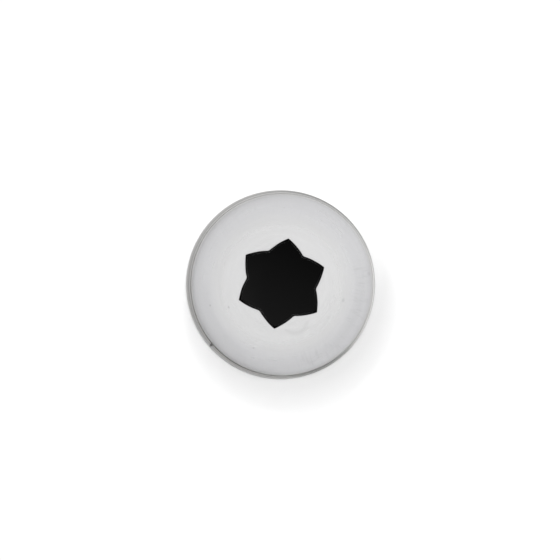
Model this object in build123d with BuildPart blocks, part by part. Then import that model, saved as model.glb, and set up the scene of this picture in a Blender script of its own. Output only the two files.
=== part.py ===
from build123d import *

import os
from math import cos, degrees, pi, radians, sin

# Piping nozzle with a six-pointed star mouth: a thin sheet cone with a rolled rim at its large end.
# It stands on its rim, mouth up. The origin is the middle of the rim, on the surface it stands on.

# Overall sizes
rim_diameter = 30.0
height = 50.0
sheet = 0.4

# Rolled rim: the sheet wraps a wire and its raw edge stops short of the cone
wire_diameter = 0.5
wire_clearance = 0.03
groove_width = 0.08
foot_flat = 0.08

# The cone stands a little to one side of the rim's centre, as hand-fed rolling leaves it
cone_shift = 0.22
cone_shift_direction = -5.0

# Star mouth, measured inside the sheet
mouth_root_diameter = 12.9
mouth_point_diameter = 9.7
tooth_count = 6
notch_depth = 8.4
notch_root_width = 0.12
tooth_point_width = 0.12
star_turn = 21.0

# Split in the rolled edge, over the wire's butt joint
split_direction = 220.5
split_inner_width = 0.46
split_outer_width = 0.1
wire_joint_gap = 0.16

# How far cuts run past what they cut
overrun = 2.0

# Rim ring, worked out from the wire and the sheet
wire_radius = wire_diameter / 2
bore_radius = wire_radius + wire_clearance
roll_radius = bore_radius + sheet
ring_radius = rim_diameter / 2 - roll_radius
ring_height = roll_radius - foot_flat

# Cone axis
shift_angle = radians(cone_shift_direction)
cone_x = cone_shift * cos(shift_angle)
cone_y = cone_shift * sin(shift_angle)
cone_axis = Axis((cone_x, cone_y, 0), (0, 0, 1))
cone_section = Plane(origin=(cone_x, cone_y, 0), x_dir=(1, 0, 0), z_dir=(0, -1, 0))

# Middle line of the cone's sheet, as (radius, height): it ends inside the roll, over the wire
foot = Vector(ring_radius, ring_height + bore_radius + sheet / 4)
root = Vector(mouth_root_diameter / 2 + sheet / 2, height - notch_depth)
point = Vector(mouth_point_diameter / 2 + sheet / 2, height)
wall_run = (root - foot).normalized()
wall_out = Vector(wall_run.Y, -wall_run.X)

# Half width of a notch at its root, level with the tooth points, and where its cutter ends.
# Level with the points it leaves each tooth its blunt point.
root_half_width = notch_root_width / 2
point_half_width = point.X * sin(pi / tooth_count) - tooth_point_width / 2
cutter_length = notch_depth + overrun
cutter_spread = (point_half_width - root_half_width) * cutter_length / notch_depth
cutter_half_width = root_half_width + cutter_spread

with BuildPart() as nozzle_shell:
    # Rolled rim: a tube of sheet round the wire
    with BuildSketch(Plane.XZ):
        with Locations((ring_radius, ring_height)):
            Circle(roll_radius)
            Circle(bore_radius, mode=Mode.SUBTRACT)
    revolve(axis=Axis.Z)
    # The underside is dressed flat, so the nozzle stands steady
    split(bisect_by=Plane.XY, keep=Keep.TOP)
    # Raw edge: the roll is open along the outside of the cone, down to the wire's middle
    groove_middle = foot + wall_out * (sheet + groove_width) / 2
    groove_bottom = groove_middle - wall_run * (foot.Y - ring_height)
    groove_top = groove_middle + wall_run * (roll_radius + overrun)
    with BuildSketch(cone_section):
        with BuildLine() as groove_line:
            Line(groove_bottom, groove_top)
        trace(groove_line.line, line_width=groove_width)
    revolve(axis=cone_axis, mode=Mode.SUBTRACT)
    # Split in the raw edge, a wedge that narrows outwards over the top of the roll
    cone_side_shift = cone_shift * cos(radians(split_direction) - shift_angle)
    split_start = ring_radius + cone_side_shift + (sheet + groove_width) / 2
    split_end = ring_radius + roll_radius
    with BuildSketch(Plane.XY.offset(ring_height).rotated((0, 0, split_direction))):
        with BuildLine():
            Polyline(
                (split_start, split_inner_width / 2),
                (split_start, -split_inner_width / 2),
                (split_end, -split_outer_width / 2),
                (split_end, split_outer_width / 2),
                close=True,
            )
        make_face()
    extrude(amount=roll_radius + overrun, mode=Mode.SUBTRACT)
    # Cone: straight to the notches, then the teeth lean in along an arc and end level
    with BuildSketch(cone_section):
        with BuildLine() as wall_line:
            Line(foot, root)
            lean = TangentArc(root, point, tangent=wall_run)
            Line(point, point + (lean % 1) * overrun)
        trace(wall_line.line, line_width=sheet)
    revolve(axis=cone_axis)
    split(bisect_by=Plane.XY.offset(height), keep=Keep.BOTTOM)
    # Star mouth: one notch is cut out of the cone between each two teeth
    for tooth in range(tooth_count):
        direction = radians(star_turn + tooth * 360 / tooth_count)
        outward = Vector(cos(direction), sin(direction), 0)
        notch_start = (cone_x, cone_y, root.Y)
        with BuildSketch(Plane(origin=notch_start, x_dir=(0, 0, 1), z_dir=outward)):
            with BuildLine():
                Polyline(
                    (0, root_half_width),
                    (0, -root_half_width),
                    (cutter_length, -cutter_half_width),
                    (cutter_length, cutter_half_width),
                    close=True,
                )
            make_face()
        extrude(amount=rim_diameter / 2, mode=Mode.SUBTRACT)

with BuildPart() as rim_wire:
    # Wire ring: not quite a full turn, with its butt joint under the split
    half_gap = degrees(wire_joint_gap / 2 / ring_radius)
    with BuildSketch(Plane.XZ.rotated((0, 0, split_direction + half_gap))):
        with Locations((ring_radius, ring_height)):
            Circle(wire_radius)
    revolve(axis=Axis.Z, revolution_arc=360 - 2 * half_gap)

nozzle_shell.part.label = "nozzle_shell"
rim_wire.part.label = "rim_wire"

os.makedirs("parts", exist_ok=True)
export_step(nozzle_shell.part, "parts/nozzle_shell.step")
export_step(rim_wire.part, "parts/rim_wire.step")
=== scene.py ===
import bpy
import math
import numpy as np
from mathutils import Matrix, Vector


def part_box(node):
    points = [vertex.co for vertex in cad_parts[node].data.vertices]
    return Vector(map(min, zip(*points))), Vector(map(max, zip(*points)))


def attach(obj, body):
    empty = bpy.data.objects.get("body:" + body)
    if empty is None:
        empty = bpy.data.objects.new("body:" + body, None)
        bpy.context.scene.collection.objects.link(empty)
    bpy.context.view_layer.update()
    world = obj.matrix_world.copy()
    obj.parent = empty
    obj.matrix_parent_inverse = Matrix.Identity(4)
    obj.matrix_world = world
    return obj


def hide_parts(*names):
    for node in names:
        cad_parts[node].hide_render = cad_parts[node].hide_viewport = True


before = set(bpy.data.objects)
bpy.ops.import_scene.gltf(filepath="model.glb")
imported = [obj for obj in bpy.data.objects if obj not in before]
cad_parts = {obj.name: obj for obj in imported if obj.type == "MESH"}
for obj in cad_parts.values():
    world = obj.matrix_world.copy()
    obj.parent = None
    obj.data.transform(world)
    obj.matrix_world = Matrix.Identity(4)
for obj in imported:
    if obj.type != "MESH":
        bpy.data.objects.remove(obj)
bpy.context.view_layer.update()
scene = bpy.context.scene
print("frame loaded:", ", ".join(sorted(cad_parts)))


# Shader maths

class Socket:
    # A node's output used as a number: + - * / ** on it add Math nodes
    def __init__(self, tree, link):
        self.tree = tree
        self.link = link

    def math(self, operation, *others, clamp=False):
        node = self.tree.nodes.new("ShaderNodeMath")
        node.operation = operation
        node.use_clamp = clamp
        for place, item in zip(node.inputs, others):
            feed(self.tree, place, item)
        return Socket(self.tree, node.outputs[0])

    def __add__(self, other):
        return self.math("ADD", self, other)

    def __radd__(self, other):
        return self.math("ADD", other, self)

    def __sub__(self, other):
        return self.math("SUBTRACT", self, other)

    def __rsub__(self, other):
        return self.math("SUBTRACT", other, self)

    def __mul__(self, other):
        return self.math("MULTIPLY", self, other)

    def __rmul__(self, other):
        return self.math("MULTIPLY", other, self)

    def __truediv__(self, other):
        return self.math("DIVIDE", self, other)

    def __pow__(self, other):
        return self.math("POWER", self, other)

    def clamped(self):
        return self.math("ADD", self, 0.0, clamp=True)

    def rise(self, start, end):
        # 0 below start, 1 above end and a smooth step between
        share = self.math("DIVIDE", self - start, end - start, clamp=True)
        return share * share * (3.0 - 2.0 * share)

    def bump(self, centre, reach):
        # 1 at centre, falling smoothly to 0 at reach on both sides
        away = (self - centre).math("ABSOLUTE", self - centre)
        return 1.0 - away.rise(0.0, reach)


def facing(x, y, degrees):
    # How far x and y point to a turn: the cosine of the angle between them, times their length
    turn = math.radians(degrees)
    return math.cos(turn) * x + math.sin(turn) * y


def feed(tree, place, item):
    # Links a socket to an input, or writes a plain value on it
    if isinstance(item, Socket):
        tree.links.new(item.link, place)
    else:
        place.default_value = item


class Recipe:
    # The nodes of one material or of the world
    def __init__(self, owner):
        owner.use_nodes = True
        self.owner = owner
        self.tree = owner.node_tree
        self.tree.nodes.clear()

    def node(self, kind, settings=None, inputs=None, output=0):
        # Adds a node of a kind, sets its settings first and then its inputs by name or place
        made = self.tree.nodes.new(kind)
        for name, value in (settings or {}).items():
            setattr(made, name, value)
        for name, value in (inputs or {}).items():
            feed(self.tree, made.inputs[name], value)
        return Socket(self.tree, made.outputs[output])

    def place(self):
        # Object coordinates and their x, y and z
        point = self.node("ShaderNodeTexCoord", output="Object")
        return point, self.split(point)

    def noise(self, vector, scale, detail, roughness):
        return self.node(
            "ShaderNodeTexNoise",
            {"noise_dimensions": "3D"},
            {"Vector": vector, "Scale": scale, "Detail": detail, "Roughness": roughness},
            "Fac",
        )

    def vector(self, operation, first, second, output=0):
        settings = {"operation": operation}
        return self.node("ShaderNodeVectorMath", settings, {0: first, 1: second}, output)

    def split(self, vector):
        return [self.node("ShaderNodeSeparateXYZ", None, {0: vector}, axis) for axis in range(3)]

    def join(self, x, y, z):
        return self.node("ShaderNodeCombineXYZ", None, {0: x, 1: y, 2: z})

    def rays(self, kind):
        # 1 for rays of a kind, such as Is Camera Ray, and 0 for the rest
        return self.node("ShaderNodeLightPath", None, None, kind)

    def blendColour(self, share, first, second):
        # The first colour where share is 0 and the second where it is 1. The node's colours have
        # the places 6 and 7, and their mix has the place 2.
        first, second = [colour if isinstance(colour, Socket) else (*colour, 1.0)
                         for colour in (first, second)]
        return self.node("ShaderNodeMix", {"data_type": "RGBA"}, {0: share, 6: first, 7: second}, 2)

    def finish(self, kind, shader):
        out = self.tree.nodes.new(kind)
        feed(self.tree, out.inputs["Surface"], shader)
        return self.owner


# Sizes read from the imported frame

shellLow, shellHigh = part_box("nozzle_shell")
wireLow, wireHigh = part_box("rim_wire")
rimRadius = (shellHigh.x - shellLow.x) / 2
topHeight = shellHigh.z
wireRadius = (wireHigh.z - wireLow.z) / 2
ringHeight = (wireHigh.z + wireLow.z) / 2
ringRadius = wireHigh.x - wireRadius
rollRadius = rimRadius - ringRadius

# The nozzle's shell: lengths in metres, angles in degrees. The groove is grooveUneven of its width
# wider towards grooveWideAngle, and as much narrower on the other side. The raw edge ends at
# lipShare of the roll's radius above the wire's middle.
nozzle = {
    "sheet": 0.0004,
    "grooveWidth": 0.00001,
    "grooveUneven": 0.8,
    "grooveWideAngle": 245.0,
    "coneShift": 0.00022,
    "coneShiftAngle": -5.0,
    "mouthRootDiameter": 0.0129,
    "mouthPointDiameter": 0.0097,
    "toothCount": 6,
    "notchDepth": 0.0084,
    "notchRootWidth": 0.00012,
    "toothPointWidth": 0.00004,
    "starTurn": 21.0,
    "splitAngle": 220.5,
    "splitInnerWidth": 0.00046,
    "splitOuterWidth": 0.0001,
    "edgeRound": 0.00002,
    "lipRound": 0.00008,
    "lipShare": 0.85,
    "wave": 0.000006,
}

# How finely the shell is made: steps and points on its grid, shares of a length, and the largest
# cosines at which the raw edge and the wall can leave the roll's bore
fineness = {
    "notchSteps": 400,
    "creaseSteps": 12,
    "columnsPerTooth": 80,
    "columnCrowding": 0.9,
    "splitColumns": 40,
    "splitReach": 1.2,
    "wallRows": 28,
    "rollRows": 36,
    "boreRows": 14,
    "cornerShares": (0.2, 0.4, 0.6, 0.8),
    "cutShares": (0.12, 0.5, 0.88),
    "rawEdgeShare": 0.8,
    "mostLipShare": 0.6,
    "edgeBoreCosine": 0.97,
    "wallBoreCosine": 0.96,
    "leastStretch": 2.5,
}

# Waves that hand polishing leaves in the wall: how many go round it, how fast they climb in
# radians a metre, where they start and how strong they are. They fade in above the rim, between
# two heights in roll radii.
waves = [
    (3, 900.0, 0.0, 1.0),
    (5, -620.0, 1.3, 1.0),
    (8, 1500.0, 0.4, 0.7),
]
waveFade = (2.0, 6.0)


def angleBetween(angles, centre):
    # The signed turn from centre to each angle, within half a turn either way
    return (angles - centre + math.pi) % (2 * math.pi) - math.pi


def wallRadius(heights, offset):
    # The cone's radius at each height on a surface that lies offset outside the sheet's middle:
    # a straight line up to the root of the notches, then a circle that touches that line there
    # and passes through the tooth point
    half = nozzle["sheet"] / 2
    boreRadius = rollRadius - nozzle["sheet"]
    foot = np.array([ringRadius, ringHeight + boreRadius + half / 2])
    root = np.array([nozzle["mouthRootDiameter"] / 2 + half, topHeight - nozzle["notchDepth"]])
    point = np.array([nozzle["mouthPointDiameter"] / 2 + half, topHeight])
    run = (root - foot) / np.linalg.norm(root - foot)
    inward = np.array([-run[1], run[0]])
    reach = point - root
    bendRadius = reach @ reach / (2 * reach @ inward)
    centre = root + bendRadius * inward
    onLine = root[0] + (heights - root[1]) * run[0] / run[1] + offset / run[1]
    under = np.maximum((bendRadius + offset) ** 2 - (heights - centre[1]) ** 2, 0)
    onCircle = centre[0] + np.sqrt(under)
    leave = root[1] - offset * inward[1]
    return np.where(heights < leave, onLine, onCircle)


def notchTop(turns, offset):
    # The height at which the sheet ends at each turn from the middle of its notch: where the
    # notch's slanted side, whose half width grows evenly with height, meets the cone's surface
    rootHeight = topHeight - nozzle["notchDepth"]
    heights = np.linspace(rootHeight, topHeight, fineness["notchSteps"])
    pointRadius = (nozzle["mouthPointDiameter"] + nozzle["sheet"]) / 2
    pointHalf = pointRadius * math.sin(math.pi / nozzle["toothCount"])
    pointHalf -= nozzle["toothPointWidth"] / 2
    rootHalf = nozzle["notchRootWidth"] / 2
    halfWidths = rootHalf + (pointHalf - rootHalf) * (heights - rootHeight) / nozzle["notchDepth"]
    meets = np.arcsin(halfWidths / wallRadius(heights, offset))
    return np.interp(np.abs(turns), meets, heights)


def shellColumns():
    # Directions round the cone's axis. Each step from one notch to the next has its columns
    # crowded towards the notch and the tooth point by a sine, and the split in the rim has more.
    # Rounding drops directions that come twice.
    step = 2 * math.pi / nozzle["toothCount"]
    even = np.arange(fineness["columnsPerTooth"]) / fineness["columnsPerTooth"]
    crowded = even - fineness["columnCrowding"] * np.sin(4 * math.pi * even) / (4 * math.pi)
    teeth = np.arange(nozzle["toothCount"])[:, None]
    fine = math.radians(nozzle["starTurn"]) + step * (teeth + crowded).ravel()
    split = math.radians(nozzle["splitAngle"])
    reach = fineness["splitReach"] * nozzle["splitInnerWidth"] / ringRadius
    near = split + np.linspace(-reach, reach, fineness["splitColumns"])
    both = np.concatenate([fine, near]) % (2 * math.pi)
    return np.unique(np.round(both, 6))


def bend(before, corner, after):
    # A rounded corner: the quadratic curve from before to after that leans on the corner
    share = np.array(fineness["cornerShares"])[None, :]
    ends = (1 - share) ** 2 * before + share ** 2 * after
    return ends + 2 * share * (1 - share) * corner


def shellSurface():
    # The whole sheet as one closed surface on a grid. One parameter is the direction round the
    # cone's axis. The other runs round the sheet's section: down the inside of the wall, round the
    # outside of the roll to its raw edge, back through the roll's bore, up the outside of the wall
    # and over the cut end. Each stretch is a line or a circle in (radius, height), cut short at
    # both ends, and a quadratic curve rounds each corner between two stretches.
    turn = shellColumns()[:, None]
    half = nozzle["sheet"] / 2
    boreRadius = rollRadius - nozzle["sheet"]
    ease = nozzle["edgeRound"]
    shift = nozzle["coneShift"]
    shiftAngle = math.radians(nozzle["coneShiftAngle"])
    aside = shift * np.cos(turn - shiftAngle)
    ring = -aside + np.sqrt(ringRadius ** 2 - shift ** 2 + aside ** 2)
    step = 2 * math.pi / nozzle["toothCount"]
    fromNotch = (turn - math.radians(nozzle["starTurn"])) % step
    fromNotch = np.where(fromNotch > step / 2, fromNotch - step, fromNotch)
    innerTop = notchTop(fromNotch, -half)
    outerTop = notchTop(fromNotch, half)

    # Where the inside of the wall meets the roll, found by stepping along the wall
    crease = np.full_like(turn, ringHeight + rollRadius)
    for _ in range(fineness["creaseSteps"]):
        out = np.clip((wallRadius(crease, -half) - ring) / rollRadius, -1, 1)
        crease = ringHeight + rollRadius * np.sqrt(1 - out ** 2)
    creaseAngle = np.arctan2(crease - ringHeight, wallRadius(crease, -half) - ring)

    # How far out from the wire's middle the raw edge and the outside of the wall are
    lip = ringHeight + rollRadius * nozzle["lipShare"] + 0 * turn
    uneven = 1 + nozzle["grooveUneven"] * np.cos(turn - math.radians(nozzle["grooveWideAngle"]))
    edgeOut = wallRadius(lip, half) + nozzle["grooveWidth"] * uneven - ring
    wallOut = wallRadius(ringHeight + boreRadius + 0 * turn, half) - ring
    away = np.abs(angleBetween(turn, math.radians(nozzle["splitAngle"]))) * ringRadius
    inner, outer = nozzle["splitInnerWidth"] / 2, nozzle["splitOuterWidth"] / 2
    opened = np.clip((inner - away) / (inner - outer), 0, 1)
    edgeOut = edgeOut + opened * (rollRadius - edgeOut)
    edgeAngle = np.arccos(np.clip(edgeOut / rollRadius, -1, 1))
    edgeBoreAngle = np.arccos(np.clip(edgeOut / boreRadius, -1, fineness["edgeBoreCosine"]))
    wallBoreAngle = np.arccos(np.clip(wallOut / boreRadius, -1, fineness["wallBoreCosine"]))

    def along(first, last, rows, startCut, endCut):
        # Even steps from first to last, cut short by a length at each end
        least = fineness["leastStretch"] * np.maximum(startCut, endCut)
        length = np.maximum(np.abs(last - first), least)
        near, far = startCut / length, 1 - endCut / length
        return first + (last - first) * (near + (far - near) * np.linspace(0, 1, rows)[None, :])

    def circle(first, last, radius, rows, startCut, endCut):
        arc = along(first * radius, last * radius, rows, startCut, endCut) / radius
        return np.stack([ring + radius * np.cos(arc), ringHeight + radius * np.sin(arc)])

    def wall(first, last, offset, rows, startCut, endCut):
        heights = along(first, last, rows, startCut, endCut)
        return np.stack([wallRadius(heights, offset), heights])

    def spot(angle, radius):
        return np.stack([ring + radius * np.cos(angle), ringHeight + radius * np.sin(angle)])

    lipRound = nozzle["lipRound"] * uneven
    edgeEnd = edgeAngle + 2 * math.pi
    edgeBoreEnd = wallBoreAngle - 2 * math.pi
    wallFoot = spot(wallBoreAngle, boreRadius)
    stretches = [
        wall(innerTop, crease, -half, fineness["wallRows"], ease, ease),
        circle(creaseAngle, edgeEnd, rollRadius, fineness["rollRows"], ease, lipRound),
        None,
        circle(edgeBoreAngle, edgeBoreEnd, boreRadius, fineness["boreRows"], ease, ease),
        wall(wallFoot[1], outerTop, half, fineness["wallRows"], ease, ease),
        None,
    ]
    corners = [
        np.stack([wallRadius(crease, -half), crease]),
        spot(edgeEnd, rollRadius),
        spot(edgeBoreAngle, boreRadius),
        wallFoot,
        np.stack([wallRadius(outerTop, half), outerTop]),
        np.stack([wallRadius(innerTop, -half), innerTop]),
    ]

    def straight(number, shares):
        # Points at shares of the way from one corner to the next
        start, end = corners[number], corners[number + 1]
        return np.concatenate([start + (end - start) * share for share in shares], axis=2)

    lipShare = lipRound / np.linalg.norm(corners[2] - corners[1], axis=0)
    lipShare = np.clip(lipShare, 0, fineness["mostLipShare"])
    stretches[2] = straight(1, [lipShare, fineness["rawEdgeShare"]])
    stretches[5] = straight(4, fineness["cutShares"])

    # The surface carries two marks: 1 on the inside of the wall, and 1 on the cut end
    pieces, marks = [], {"insideShare": [], "cutShare": []}
    for number, stretch in enumerate(stretches):
        following = (number + 1) % len(stretches)
        first = stretches[following][:, :, :1]
        pieces += [stretch, bend(stretch[:, :, -1:], corners[number], first)]
        for mark, marked in (("insideShare", 0), ("cutShare", 5)):
            here, there = float(number == marked), float(following == marked)
            marks[mark] += [
                np.full(stretch.shape[2], here),
                np.linspace(here, there, len(fineness["cornerShares"]))]
    radius, height = np.concatenate(pieces, axis=2)

    # The wall is very slightly wavy, and the underside is dressed flat
    wave = sum(strength * np.sin(around * turn + climb * height + start)
               for around, climb, start, strength in waves)
    fade = (height - ringHeight) / rollRadius
    fade = np.clip((fade - waveFade[0]) / (waveFade[1] - waveFade[0]), 0, 1)
    radius = radius + nozzle["wave"] * wave * fade
    height = np.maximum(height, 0)
    x = shift * math.cos(shiftAngle) + radius * np.cos(turn)
    y = shift * math.sin(shiftAngle) + radius * np.sin(turn)
    shares = {mark: np.concatenate(parts)[None, :] + 0 * radius for mark, parts in marks.items()}
    return np.stack([x, y, height], axis=-1), shares


def meshFromGrid(name, points, closedAcross=True, closedAlong=True):
    # One quad between each four neighbours of the grid; a closed direction joins last to first.
    # The faces are flipped if the volume inside them comes out negative.
    rows, columns = points.shape[:2]
    index = np.arange(rows * columns).reshape(rows, columns)
    if closedAlong:
        index = np.concatenate([index, index[:1]], axis=0)
    if closedAcross:
        index = np.concatenate([index, index[:, :1]], axis=1)
    corners = [index[:-1, :-1], index[1:, :-1], index[1:, 1:], index[:-1, 1:]]
    faces = np.stack(corners, axis=-1).reshape(-1, 4)
    mesh = bpy.data.meshes.new(name)
    mesh.vertices.add(rows * columns)
    mesh.vertices.foreach_set("co", points.astype(np.float32).ravel())
    mesh.loops.add(faces.size)
    mesh.loops.foreach_set("vertex_index", faces.astype(np.int32).ravel())
    mesh.polygons.add(len(faces))
    mesh.polygons.foreach_set("loop_start", np.arange(0, faces.size, 4, dtype=np.int32))
    mesh.update(calc_edges=True)
    mesh.polygons.foreach_set("use_smooth", np.ones(len(faces), bool))
    corner = points.reshape(-1, 3)[faces]
    volume = np.einsum("ij,ij->i", corner[:, 0], np.cross(corner[:, 1], corner[:, 2])).sum()
    volume += np.einsum("ij,ij->i", corner[:, 0], np.cross(corner[:, 2], corner[:, 3])).sum()
    if volume < 0:
        mesh.flip_normals()
    made = bpy.data.objects.new(name, mesh)
    scene.collection.objects.link(made)
    return made


# Polished stainless sheet. Lengths are in metres and turns in degrees. Heights are above the floor
# and distances are from the cone's axis: a pair gives where a change starts and where it is full.
polish = {
    "tipColour": (0.565, 0.564, 0.567),
    "wallColour": (0.546, 0.546, 0.561),
    "rimColour": (0.53, 0.528, 0.521),
    # the cut end is nearly black: partly its dull cut, partly painted shade beside the dark mouth
    "cutColour": (0.02, 0.02, 0.02),
    "insideColour": (0.5, 0.5, 0.5),
    "tipColourHeights": (0.014, 0.028),
    "rimDistances": (0.0139, 0.01456),
    "roughness": 0.25,
    "rimRoughness": 0.42,
    "cutRoughness": 0.55,
    "insideRoughness": 0.55,
    "lowRoughness": 0.05,
    "lineRoughness": 0.10,
    "cloudRoughness": 0.12,
    "tipHeights": (0.024, 0.034),
    "cloudDepth": 0.1,
    "ringDepth": 0.2,
    "lowRingShare": 0.5,
    "lineDepth": 0.04,
    "grainDepth": 0.09,
    "streakDepth": 0.14,
    "streakNoise": (0.45, 0.8),
    "streakEverywhere": 0.25,
    "streakTurns": [(-8.0, (0.89, 0.97)), (304.0, (0.91, 0.99))],
    "streakStart": (0.002, 0.006),
    "streakEnd": (0.015, 0.023),
    # painted highlight on the wall beside the groove, stronger on one side
    "seamPaintedLight": 0.4,
    "seamPaintedLightSide": 0.25,
    "seamTurn": 125.0,
    "seamStart": (0.01405, 0.0145),
    "seamEnd": (0.01458, 0.0148),
    "beadDistances": (0.0145, 0.01465),
    "footDistances": (0.0124, 0.0138),
    "stepHeights": (0.0165, 0.0185),
    # painted shade on one side of the wall: the height of its middle and its reach
    "paintedSideShadeHeight": 0.014,
    "paintedSideShadeReach": 0.009,
    "speckCore": 0.3,
    "brushDepth": 0.000004,
    "brushStrength": 0.35,
    "ringRelief": 0.8,
    "streakRelief": 0.5,
}

# Noises that run with the cone: how fine they are round it and, per metre, up it, then their
# detail and roughness. The clouds are as fine in every direction.
noises = {
    "lines": (5.0, 4000.0, 3.0, 0.6),
    "rings": (1.2, 300.0, 3.0, 0.6),
    "grain": (45.0, 800.0, 2.0, 0.6),
    "streaks": (26.0, 90.0, 3.0, 0.6),
}
cloudNoise = (160.0, 4.0, 0.55)

# Painted light and shade: where a part of the sheet is painted lighter or darker on one side, as
# light
# would fall there: the part, the turn of the middle, the cosines of the turn away from it at which
# the change starts and is full, and how much it is
paintedLightPatches = [
    # painted shade on the lower left, halfway up the wall
    ("paintedSideShade", 210.0, (0.75, 0.98), -0.085),
    ("seam", 266.0, (0.88, 1.0), 0.25),
    ("rim", 30.0, (0.4, 1.0), -0.45),
    ("foot", 320.0, (0.2, 1.0), 0.15),
    ("bead", -10.0, (0.82, 1.0), 0.25),
    ("bead", 298.0, (0.9, 1.0), -0.32),
    ("step", 12.0, (0.3, 0.9), -0.03),
]

# Marks of use: turn, distance from the axis, size and strength
specks = [
    (196.5, 0.01158, 0.00022, 0.45),
    (203.9, 0.00875, 0.00026, 0.50),
    (246.3, 0.01076, 0.00026, 0.30),
    (-14.8, 0.00975, 0.00045, 0.22),
    (7.0, 0.01383, 0.00055, 0.16),
    (88.0, 0.01190, 0.00025, 0.14),
    (324.0, 0.00870, 0.00034, 0.12),
]

# A darker arc round the root of one tooth, seen from above
toothArc = {
    "middle": (0.0022, -0.0056),
    "radius": 0.00185,
    "halfWidth": 0.0006,
    "depth": 0.13,
    "distances": (0.0066, 0.0072),
}


def polishedSheet():
    # Lines and rings run round the cone, because their noise is read at the cosine and sine of
    # the turn, which change slowly, and at the height, which changes fast. Streaks run down the
    # wall, the other way about. Specks are placed with the height pressed flat by the wall's
    # slope, so that they are round when seen from above.
    recipe = Recipe(bpy.data.materials.new("polishedSheet"))
    point, (x, y, z) = recipe.place()
    shift, shiftTurn = nozzle["coneShift"], math.radians(nozzle["coneShiftAngle"])
    coneX, coneY = x - shift * math.cos(shiftTurn), y - shift * math.sin(shiftTurn)
    away = (coneX * coneX + coneY * coneY) ** 0.5
    cosine, sine = coneX / away, coneY / away

    def runningNoise(name):
        around, up, detail, roughness = noises[name]
        place = recipe.join(cosine * around, sine * around, z * up)
        return recipe.noise(place, 1.0, detail, roughness)

    lines, rings = runningNoise("lines"), runningNoise("rings")
    grain, streaks = runningNoise("grain"), runningNoise("streaks")
    clouds = recipe.noise(point, *cloudNoise)

    # The tone that the colour is multiplied by: first what the noises do to it
    nearTip = z.rise(*polish["tipHeights"])
    ringShare = polish["lowRingShare"] + (1.0 - polish["lowRingShare"]) * nearTip
    tone = 1.0 + polish["cloudDepth"] * (clouds - 0.5)
    tone = tone + polish["ringDepth"] * (rings - 0.5) * ringShare
    tone = tone + polish["lineDepth"] * (lines - 0.5) + polish["grainDepth"] * (grain - 0.5)
    streaked = polish["streakEverywhere"]
    for degrees, cosines in polish["streakTurns"]:
        streaked = streaked + facing(cosine, sine, degrees).rise(*cosines)
    low = z.rise(*polish["streakStart"]) * (1.0 - z.rise(*polish["streakEnd"]))
    tone = tone - polish["streakDepth"] * streaks.rise(*polish["streakNoise"]) * streaked * low

    # Then the painted highlight on the wall beside the groove, and the patches of painted light and
    # shade
    parts = {
        "paintedSideShade": z.bump(polish["paintedSideShadeHeight"], polish["paintedSideShadeReach"]),
        "seam": away.rise(*polish["seamStart"]) * (1.0 - away.rise(*polish["seamEnd"])),
        "rim": away.rise(*polish["seamEnd"]),
        "foot": away.rise(*polish["footDistances"]),
        "bead": away.rise(*polish["beadDistances"]),
        "step": 1.0 - z.rise(*polish["stepHeights"]),
    }
    seamSide = facing(cosine, sine, polish["seamTurn"])
    tone = tone + parts["seam"] * (polish["seamPaintedLight"] + polish["seamPaintedLightSide"] * seamSide)
    for part, degrees, cosines, change in paintedLightPatches:
        tone = tone + change * parts[part] * facing(cosine, sine, degrees).rise(*cosines)

    # Then the specks and the arc
    slope = (ringRadius - nozzle["mouthRootDiameter"] / 2) / (topHeight - nozzle["notchDepth"])
    pressed = recipe.vector("MULTIPLY", point, (1, 1, slope))
    for degrees, radius, size, depth in specks:
        turn = math.radians(degrees)
        height = (ringRadius + nozzle["sheet"] / 2 - radius) / slope + ringHeight
        spot = (shift + radius * math.cos(turn), radius * math.sin(turn), height * slope)
        off = recipe.vector("DISTANCE", pressed, spot, "Value")
        tone = tone - depth * (1.0 - off.rise(size * polish["speckCore"], size))
    arcX, arcY = x - toothArc["middle"][0], y - toothArc["middle"][1]
    arc = ((arcX * arcX + arcY * arcY) ** 0.5).bump(toothArc["radius"], toothArc["halfWidth"])
    tone = tone - toothArc["depth"] * arc * away.rise(*toothArc["distances"])

    cut = recipe.node("ShaderNodeAttribute", {"attribute_name": "cutShare"}, None, "Fac")
    inside = recipe.node("ShaderNodeAttribute", {"attribute_name": "insideShare"}, None, "Fac")
    rim = away.rise(*polish["rimDistances"]) * (1.0 - inside)
    tip = z.rise(*polish["tipColourHeights"])
    colour = recipe.blendColour(tip, polish["wallColour"], polish["tipColour"])
    colour = recipe.blendColour(rim, colour, polish["rimColour"])
    colour = recipe.blendColour(inside, colour, polish["insideColour"])
    toned = recipe.vector("MULTIPLY", colour, recipe.join(tone, tone, tone))
    rough = polish["roughness"] + polish["lowRoughness"] * (1.0 - nearTip)
    rough = rough + polish["lineRoughness"] * (lines - 0.5)
    rough = rough + polish["cloudRoughness"] * (clouds - 0.5)
    for share, name in ((rim, "rimRoughness"), (cut, "cutRoughness"), (inside, "insideRoughness")):
        rough = rough + share * (polish[name] - polish["roughness"])
    relief = recipe.node("ShaderNodeBump", None, {
        "Strength": polish["brushStrength"],
        "Distance": polish["brushDepth"],
        "Height": lines + polish["ringRelief"] * rings + polish["streakRelief"] * streaks,
    })
    shader = recipe.node("ShaderNodeBsdfPrincipled", None, {
        "Base Color": recipe.blendColour(cut, toned, polish["cutColour"]),
        "Metallic": 1.0,
        "Roughness": rough,
        "Normal": relief,
    })
    return recipe.finish("ShaderNodeOutputMaterial", shader)


# Drawn steel wire: its grain runs from the dark colour to the light one
wire = {
    "darkColour": (0.36, 0.36, 0.36),
    "lightColour": (0.42, 0.42, 0.42),
    "roughness": 0.38,
    "grainRoughness": 0.2,
    "grain": (2500.0, 3.0, 0.6),
}


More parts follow.
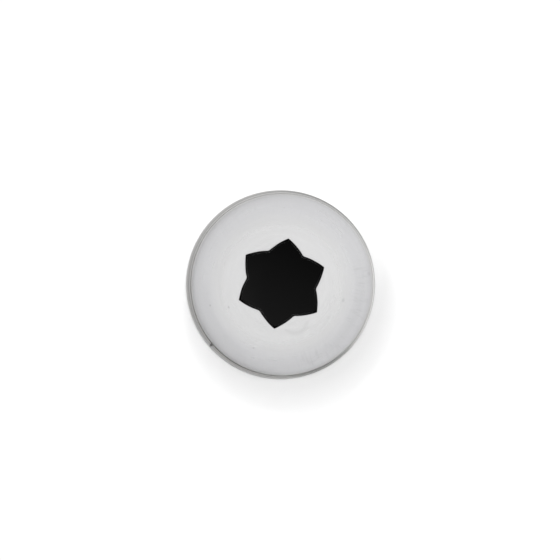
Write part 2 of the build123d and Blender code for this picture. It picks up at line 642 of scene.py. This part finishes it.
def drawnWire():
    recipe = Recipe(bpy.data.materials.new("drawnWire"))
    grain = recipe.noise(recipe.node("ShaderNodeTexCoord", output="Object"), *wire["grain"])
    shader = recipe.node("ShaderNodeBsdfPrincipled", None, {
        "Base Color": recipe.blendColour(grain, wire["darkColour"], wire["lightColour"]),
        "Metallic": 1.0,
        "Roughness": wire["roughness"] + wire["grainRoughness"] * (grain - 0.5),
    })
    return recipe.finish("ShaderNodeOutputMaterial", shader)


shellPoints, shellShares = shellSurface()
nozzleShell = meshFromGrid("nozzleShell", shellPoints)
for shareName, share in shellShares.items():
    mark = nozzleShell.data.attributes.new(shareName, "FLOAT", "POINT")
    mark.data.foreach_set("value", share.astype(np.float32).ravel())
nozzleShell.data.materials.append(polishedSheet())
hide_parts("nozzle_shell")
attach(nozzleShell, "root")
print("nozzle shell:", len(nozzleShell.data.polygons), "faces")

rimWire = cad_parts["rim_wire"]
rimWire.material_slots[0].material = drawnWire()
print("rim wire dressed")


# Stage: a white floor, painted dark inside the nozzle's foot as painted shade. Distances are from
# the rim's middle.
stage = {
    "floorSize": 4.0,
    "floorDrop": 0.00002,
    "floorColour": 0.8,
    "floorGlow": 0.02,
    "mirroredGlow": 0.05,
    # painted shade: the floor inside the foot is nearly black, with a faint painted glow that grows
    # to one side
    "insideColour": 0.01,
    "insideGlow": 0.0063,
    "insideGlowPerMetre": (-0.2, -0.4),
    "insideEdge": 0.0002,
    "nearDistances": (0.0152, 0.022),
    "nearShade": 0.11,
    "nearShadeSide": 0.05,
    "farShadeSide": 0.012,
    "shadeTurn": 150.0,
    "rimShade": 0.05,
    "rimShadeEnd": 0.0166,
    # painted light on the floor round the rim, seen by the camera, in place of what the steel
    # throws there
    "thrownLight": 0.06,
    "thrownEnd": 0.0168,
    "thrownLess": 0.8,
    "thrownLessTurn": 205.0,
    "thrownLessCosines": (0.3, 0.95),
}


def floorPaint():
    # Plain diffuse white that keeps the shadow, with a little glow for the camera and for
    # reflections, so that the lit floor is white. Inside the nozzle's foot the floor is painted
    # nearly black, as painted shade, with a faint painted glow. The metal sees the floor with
    # painted shade close to the nozzle and on one side, and the camera sees painted light on it
    # near the rim, in place of what the rim throws there, less on one side.
    recipe = Recipe(bpy.data.materials.new("floorPaint"))
    _, (x, y, _) = recipe.place()
    away = (x * x + y * y) ** 0.5
    outside = away.rise(ringRadius - stage["insideEdge"], ringRadius)
    near = 1.0 - away.rise(*stage["nearDistances"])
    side = facing(x, y, stage["shadeTurn"]) / away
    shade = near * (stage["nearShade"] + stage["nearShadeSide"] * side)
    shade = shade + stage["farShadeSide"] * side
    shade = shade + stage["rimShade"] * (1.0 - away.rise(rimRadius, stage["rimShadeEnd"]))
    mirrored = recipe.rays("Is Glossy Ray")
    left = 1.0 - mirrored * shade
    dark, light = (stage["insideColour"],) * 3, (stage["floorColour"],) * 3
    colour = recipe.blendColour(outside, dark, light)
    colour = recipe.vector("MULTIPLY", colour, recipe.join(left, left, left))

    seen = (recipe.rays("Is Camera Ray") + recipe.rays("Is Transmission Ray")).clamped()
    perX, perY = stage["insideGlowPerMetre"]
    insideGlow = stage["insideGlow"] + perX * x + perY * y
    less = (facing(x, y, stage["thrownLessTurn"]) / away).rise(*stage["thrownLessCosines"])
    thrown = stage["thrownLight"] * (1.0 - away.rise(rimRadius, stage["thrownEnd"]))
    thrown = thrown * (1.0 - stage["thrownLess"] * less)
    seenGlow = outside * (stage["floorGlow"] + thrown) + (1.0 - outside) * insideGlow
    glow = seen * seenGlow + mirrored * outside * stage["mirroredGlow"]
    shader = recipe.node("ShaderNodeBsdfPrincipled", None, {
        "Base Color": colour,
        "Roughness": 1.0,
        "Specular IOR Level": 0.0,
        "Emission Color": recipe.join(glow, glow, glow),
        "Emission Strength": 1.0,
    })
    return recipe.finish("ShaderNodeOutputMaterial", shader)


def makeFloor():
    side = stage["floorSize"] / 2
    grid = [[[-side, -side, 0], [-side, side, 0]], [[side, -side, 0], [side, side, 0]]]
    floor = meshFromGrid("studioFloor", np.array(grid, float), False, False)
    floor.data.materials.append(floorPaint())
    floor.location.z = -stage["floorDrop"]
    return floor


floor = makeFloor()

# Arc of soft lamps round the camera: distant lamps whose directions lie on part of a circle. Its
# centre and radius are how far they lean from upright, as slopes. The lamps at the arc's two ends
# are stronger than those in its middle.
ringLight = {
    "count": 26,
    "centre": (-0.024, 0.073),
    "radius": 0.246,
    "fromTurn": -25.0,
    "toTurn": 210.0,
    "tubeAngle": 2.2,
    "level": 1.2,
    "startBoost": 0.9,
    "endBoost": 0.5,
}


def makeRingLight():
    # The boosts grow with the square of the way from the arc's middle, which is 1/3 on average.
    # So they raise the lamps by a sixth of their sum, and that is divided out again.
    centreX, centreY = ringLight["centre"]
    swing = ringLight["toTurn"] - ringLight["fromTurn"]
    average = 1 + (ringLight["startBoost"] + ringLight["endBoost"]) / 6
    for number in range(ringLight["count"]):
        share = (number + 0.5) / ringLight["count"]
        turn = math.radians(ringLight["fromTurn"] + swing * share)
        leanX = centreX + ringLight["radius"] * math.cos(turn)
        leanY = centreY + ringLight["radius"] * math.sin(turn)
        towards = Vector((leanX, leanY, 1.0)).normalized()
        most = ringLight["startBoost"] if share < 0.5 else ringLight["endBoost"]
        boost = (1 + most * (2 * share - 1) ** 2) / average
        data = bpy.data.lights.new("ringLamp", "SUN")
        # Energies that add up to pi light a white floor to 1
        data.energy = math.pi * ringLight["level"] * boost / ringLight["count"] / towards.z
        data.angle = math.radians(ringLight["tubeAngle"])
        lamp = bpy.data.objects.new(data.name, data)
        lamp.rotation_mode = "QUATERNION"
        lamp.rotation_quaternion = (-towards).to_track_quat("-Z", "Y")
        lamp.visible_glossy = False  # the metal mirrors the room and the floor, not the lamps
        scene.collection.objects.link(lamp)


makeRingLight()
print("floor and ring light set")

# World: white to the camera, a soft grey dome to reflections, and even fill light. A panel is the
# turn of its middle and how much brighter it is than the rest.
dome = {
    "fill": 0.04,
    "horizon": 0.8,
    "zenith": 0.54,
    "brightSide": 0.26,
    "brightTurn": 105.0,
    "panels": [(-10.0, 0.5), (78.0, -0.55), (187.0, -0.3), (292.0, -0.6)],
    "panelEdges": (0.80, 0.97),
    "panelTops": (0.25, 0.6),
    "leastLevel": 0.0001,
}


def studioDome():
    # To reflections the dome falls from the horizon's level to the zenith's, it is brighter
    # towards one side, and low down it has panels that are brighter or darker than the rest
    recipe = Recipe(bpy.data.worlds.new("studioDome"))
    x, y, z = recipe.split(recipe.node("ShaderNodeTexCoord", output="Generated"))
    seen, mirrored = recipe.rays("Is Camera Ray"), recipe.rays("Is Glossy Ray")
    side = 1.0 + dome["brightSide"] * facing(x, y, dome["brightTurn"])
    grade = (dome["horizon"] + (dome["zenith"] - dome["horizon"]) * z.rise(0.0, 1.0)) * side
    low = 1.0 - z.rise(*dome["panelTops"])
    level = (x * x + y * y + dome["leastLevel"]) ** 0.5
    for degrees, change in dome["panels"]:
        panel = (facing(x, y, degrees) / level).rise(*dome["panelEdges"])
        grade = grade + change * low * panel
    strength = seen + (1.0 - seen) * (mirrored * grade + (1.0 - mirrored) * dome["fill"])
    light = recipe.node("ShaderNodeBackground", None, {"Color": (1, 1, 1, 1), "Strength": strength})
    return recipe.finish("ShaderNodeOutputWorld", light)


scene.world = studioDome()

# Camera: nearly straight above, placed so that the rim and the mouth fall where the photo has
# them. Pixels are counted from 0 at their centres. The lean is how far it stands aside, in metres.
view = {
    "height": 0.745,
    "framePixels": 560,
    "sensor": 36.0,
    "rimPixel": (280.03, 284.06),
    "rimPixels": 188.74,
    "lean": (0.0016, -0.0037),
    "clip": (0.1, 10.0),
}


def overheadCamera():
    distance = view["height"] - ringHeight
    perMetre = view["rimPixels"] / (2 * rimRadius)
    middle = (view["framePixels"] - 1) / 2
    pixelX, pixelY = view["rimPixel"]
    aim = Vector(((middle - pixelX) / perMetre, (pixelY - middle) / perMetre, ringHeight))
    data = bpy.data.cameras.new("overheadCamera")
    data.sensor_width = view["sensor"]
    data.lens = view["sensor"] * perMetre * distance / view["framePixels"]
    data.clip_start, data.clip_end = view["clip"]
    camera = bpy.data.objects.new(data.name, data)
    back = Vector((*view["lean"], distance))
    across = Vector((0, 1, 0)).cross(back).normalized()
    up = back.normalized().cross(across)
    axes = Matrix((across, up, back.normalized())).transposed().to_4x4()
    camera.matrix_world = Matrix.Translation(aim + back) @ axes
    scene.collection.objects.link(camera)
    return camera


scene.camera = overheadCamera()
scene.view_settings.view_transform = "Standard"
print("camera set")
